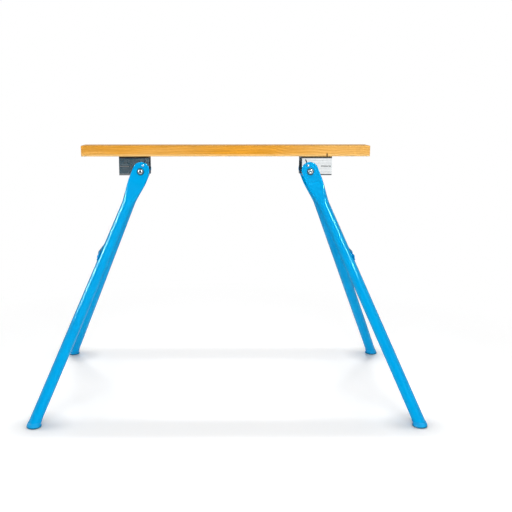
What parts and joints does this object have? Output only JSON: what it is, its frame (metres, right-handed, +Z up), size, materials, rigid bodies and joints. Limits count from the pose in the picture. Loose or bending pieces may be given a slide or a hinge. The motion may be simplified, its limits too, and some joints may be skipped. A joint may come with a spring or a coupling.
{
  "type": "folding sawhorse",
  "caption": "Folding sawhorse: flat timber beam on pressed steel brackets, with splayed blue tubular leg frames that swing under the beam for storage.",
  "frame": {"origin": "on the floor under the middle of the beam", "axes": "+X along the beam to the right, +Y away from the viewer, +Z up"},
  "size_m": [1.192, 0.724, 0.813],
  "materials": {
    "pine": "oiled, planed smooth",
    "galvanised_sheet": "galvanised, satin",
    "zinc_fasteners": "bright zinc plate",
    "blue_enamel": "gloss powder coat",
    "blue_rivets": "gloss powder coat",
    "blue_plastic": "satin"
  },
  "bodies": {
    "beam": {"top_beam": "pine", "left_bracket": "galvanised_sheet", "left_bracket_screws": "zinc_fasteners", "left_front_pivot_washer": "zinc_fasteners", "left_front_pivot_spacer": "zinc_fasteners", "left_front_pivot_bolt": "zinc_fasteners", "left_front_pivot_nut": "zinc_fasteners", "left_rear_pivot_washer": "zinc_fasteners", "left_rear_pivot_spacer": "zinc_fasteners", "left_rear_pivot_bolt": "zinc_fasteners", "left_rear_pivot_nut": "zinc_fasteners", "right_bracket": "galvanised_sheet", "right_bracket_screws": "zinc_fasteners", "right_front_pivot_washer": "zinc_fasteners", "right_front_pivot_spacer": "zinc_fasteners", "right_front_pivot_bolt": "zinc_fasteners", "right_front_pivot_nut": "zinc_fasteners", "right_rear_pivot_washer": "zinc_fasteners", "right_rear_pivot_spacer": "zinc_fasteners", "right_rear_pivot_bolt": "zinc_fasteners", "right_rear_pivot_nut": "zinc_fasteners"},
    "left_legs": {"left_front_leg": "blue_enamel", "left_front_foot": "blue_plastic", "left_front_stop_pin": "zinc_fasteners", "left_rear_leg": "blue_enamel", "left_rear_foot": "blue_plastic", "left_rear_stop_pin": "zinc_fasteners", "left_brace": "blue_enamel", "left_brace_rivets": "blue_rivets"},
    "right_legs": {"right_front_leg": "blue_enamel", "right_front_foot": "blue_plastic", "right_front_stop_pin": "zinc_fasteners", "right_rear_leg": "blue_enamel", "right_rear_foot": "blue_plastic", "right_rear_stop_pin": "zinc_fasteners", "right_brace": "blue_enamel", "right_brace_rivets": "blue_rivets"}
  },
  "joints": [
    {"name": "left_fold", "type": "hinge", "parent": "beam", "child": "left_legs", "pos_m": [-0.27, 0, 0.731], "axis": [0, -1, 0], "range_deg": [0, 116.82]},
    {"name": "right_fold", "type": "hinge", "parent": "beam", "child": "right_legs", "pos_m": [0.27, 0, 0.731], "axis": [0, 1, 0], "range_deg": [0, 104.82]}
  ]
}
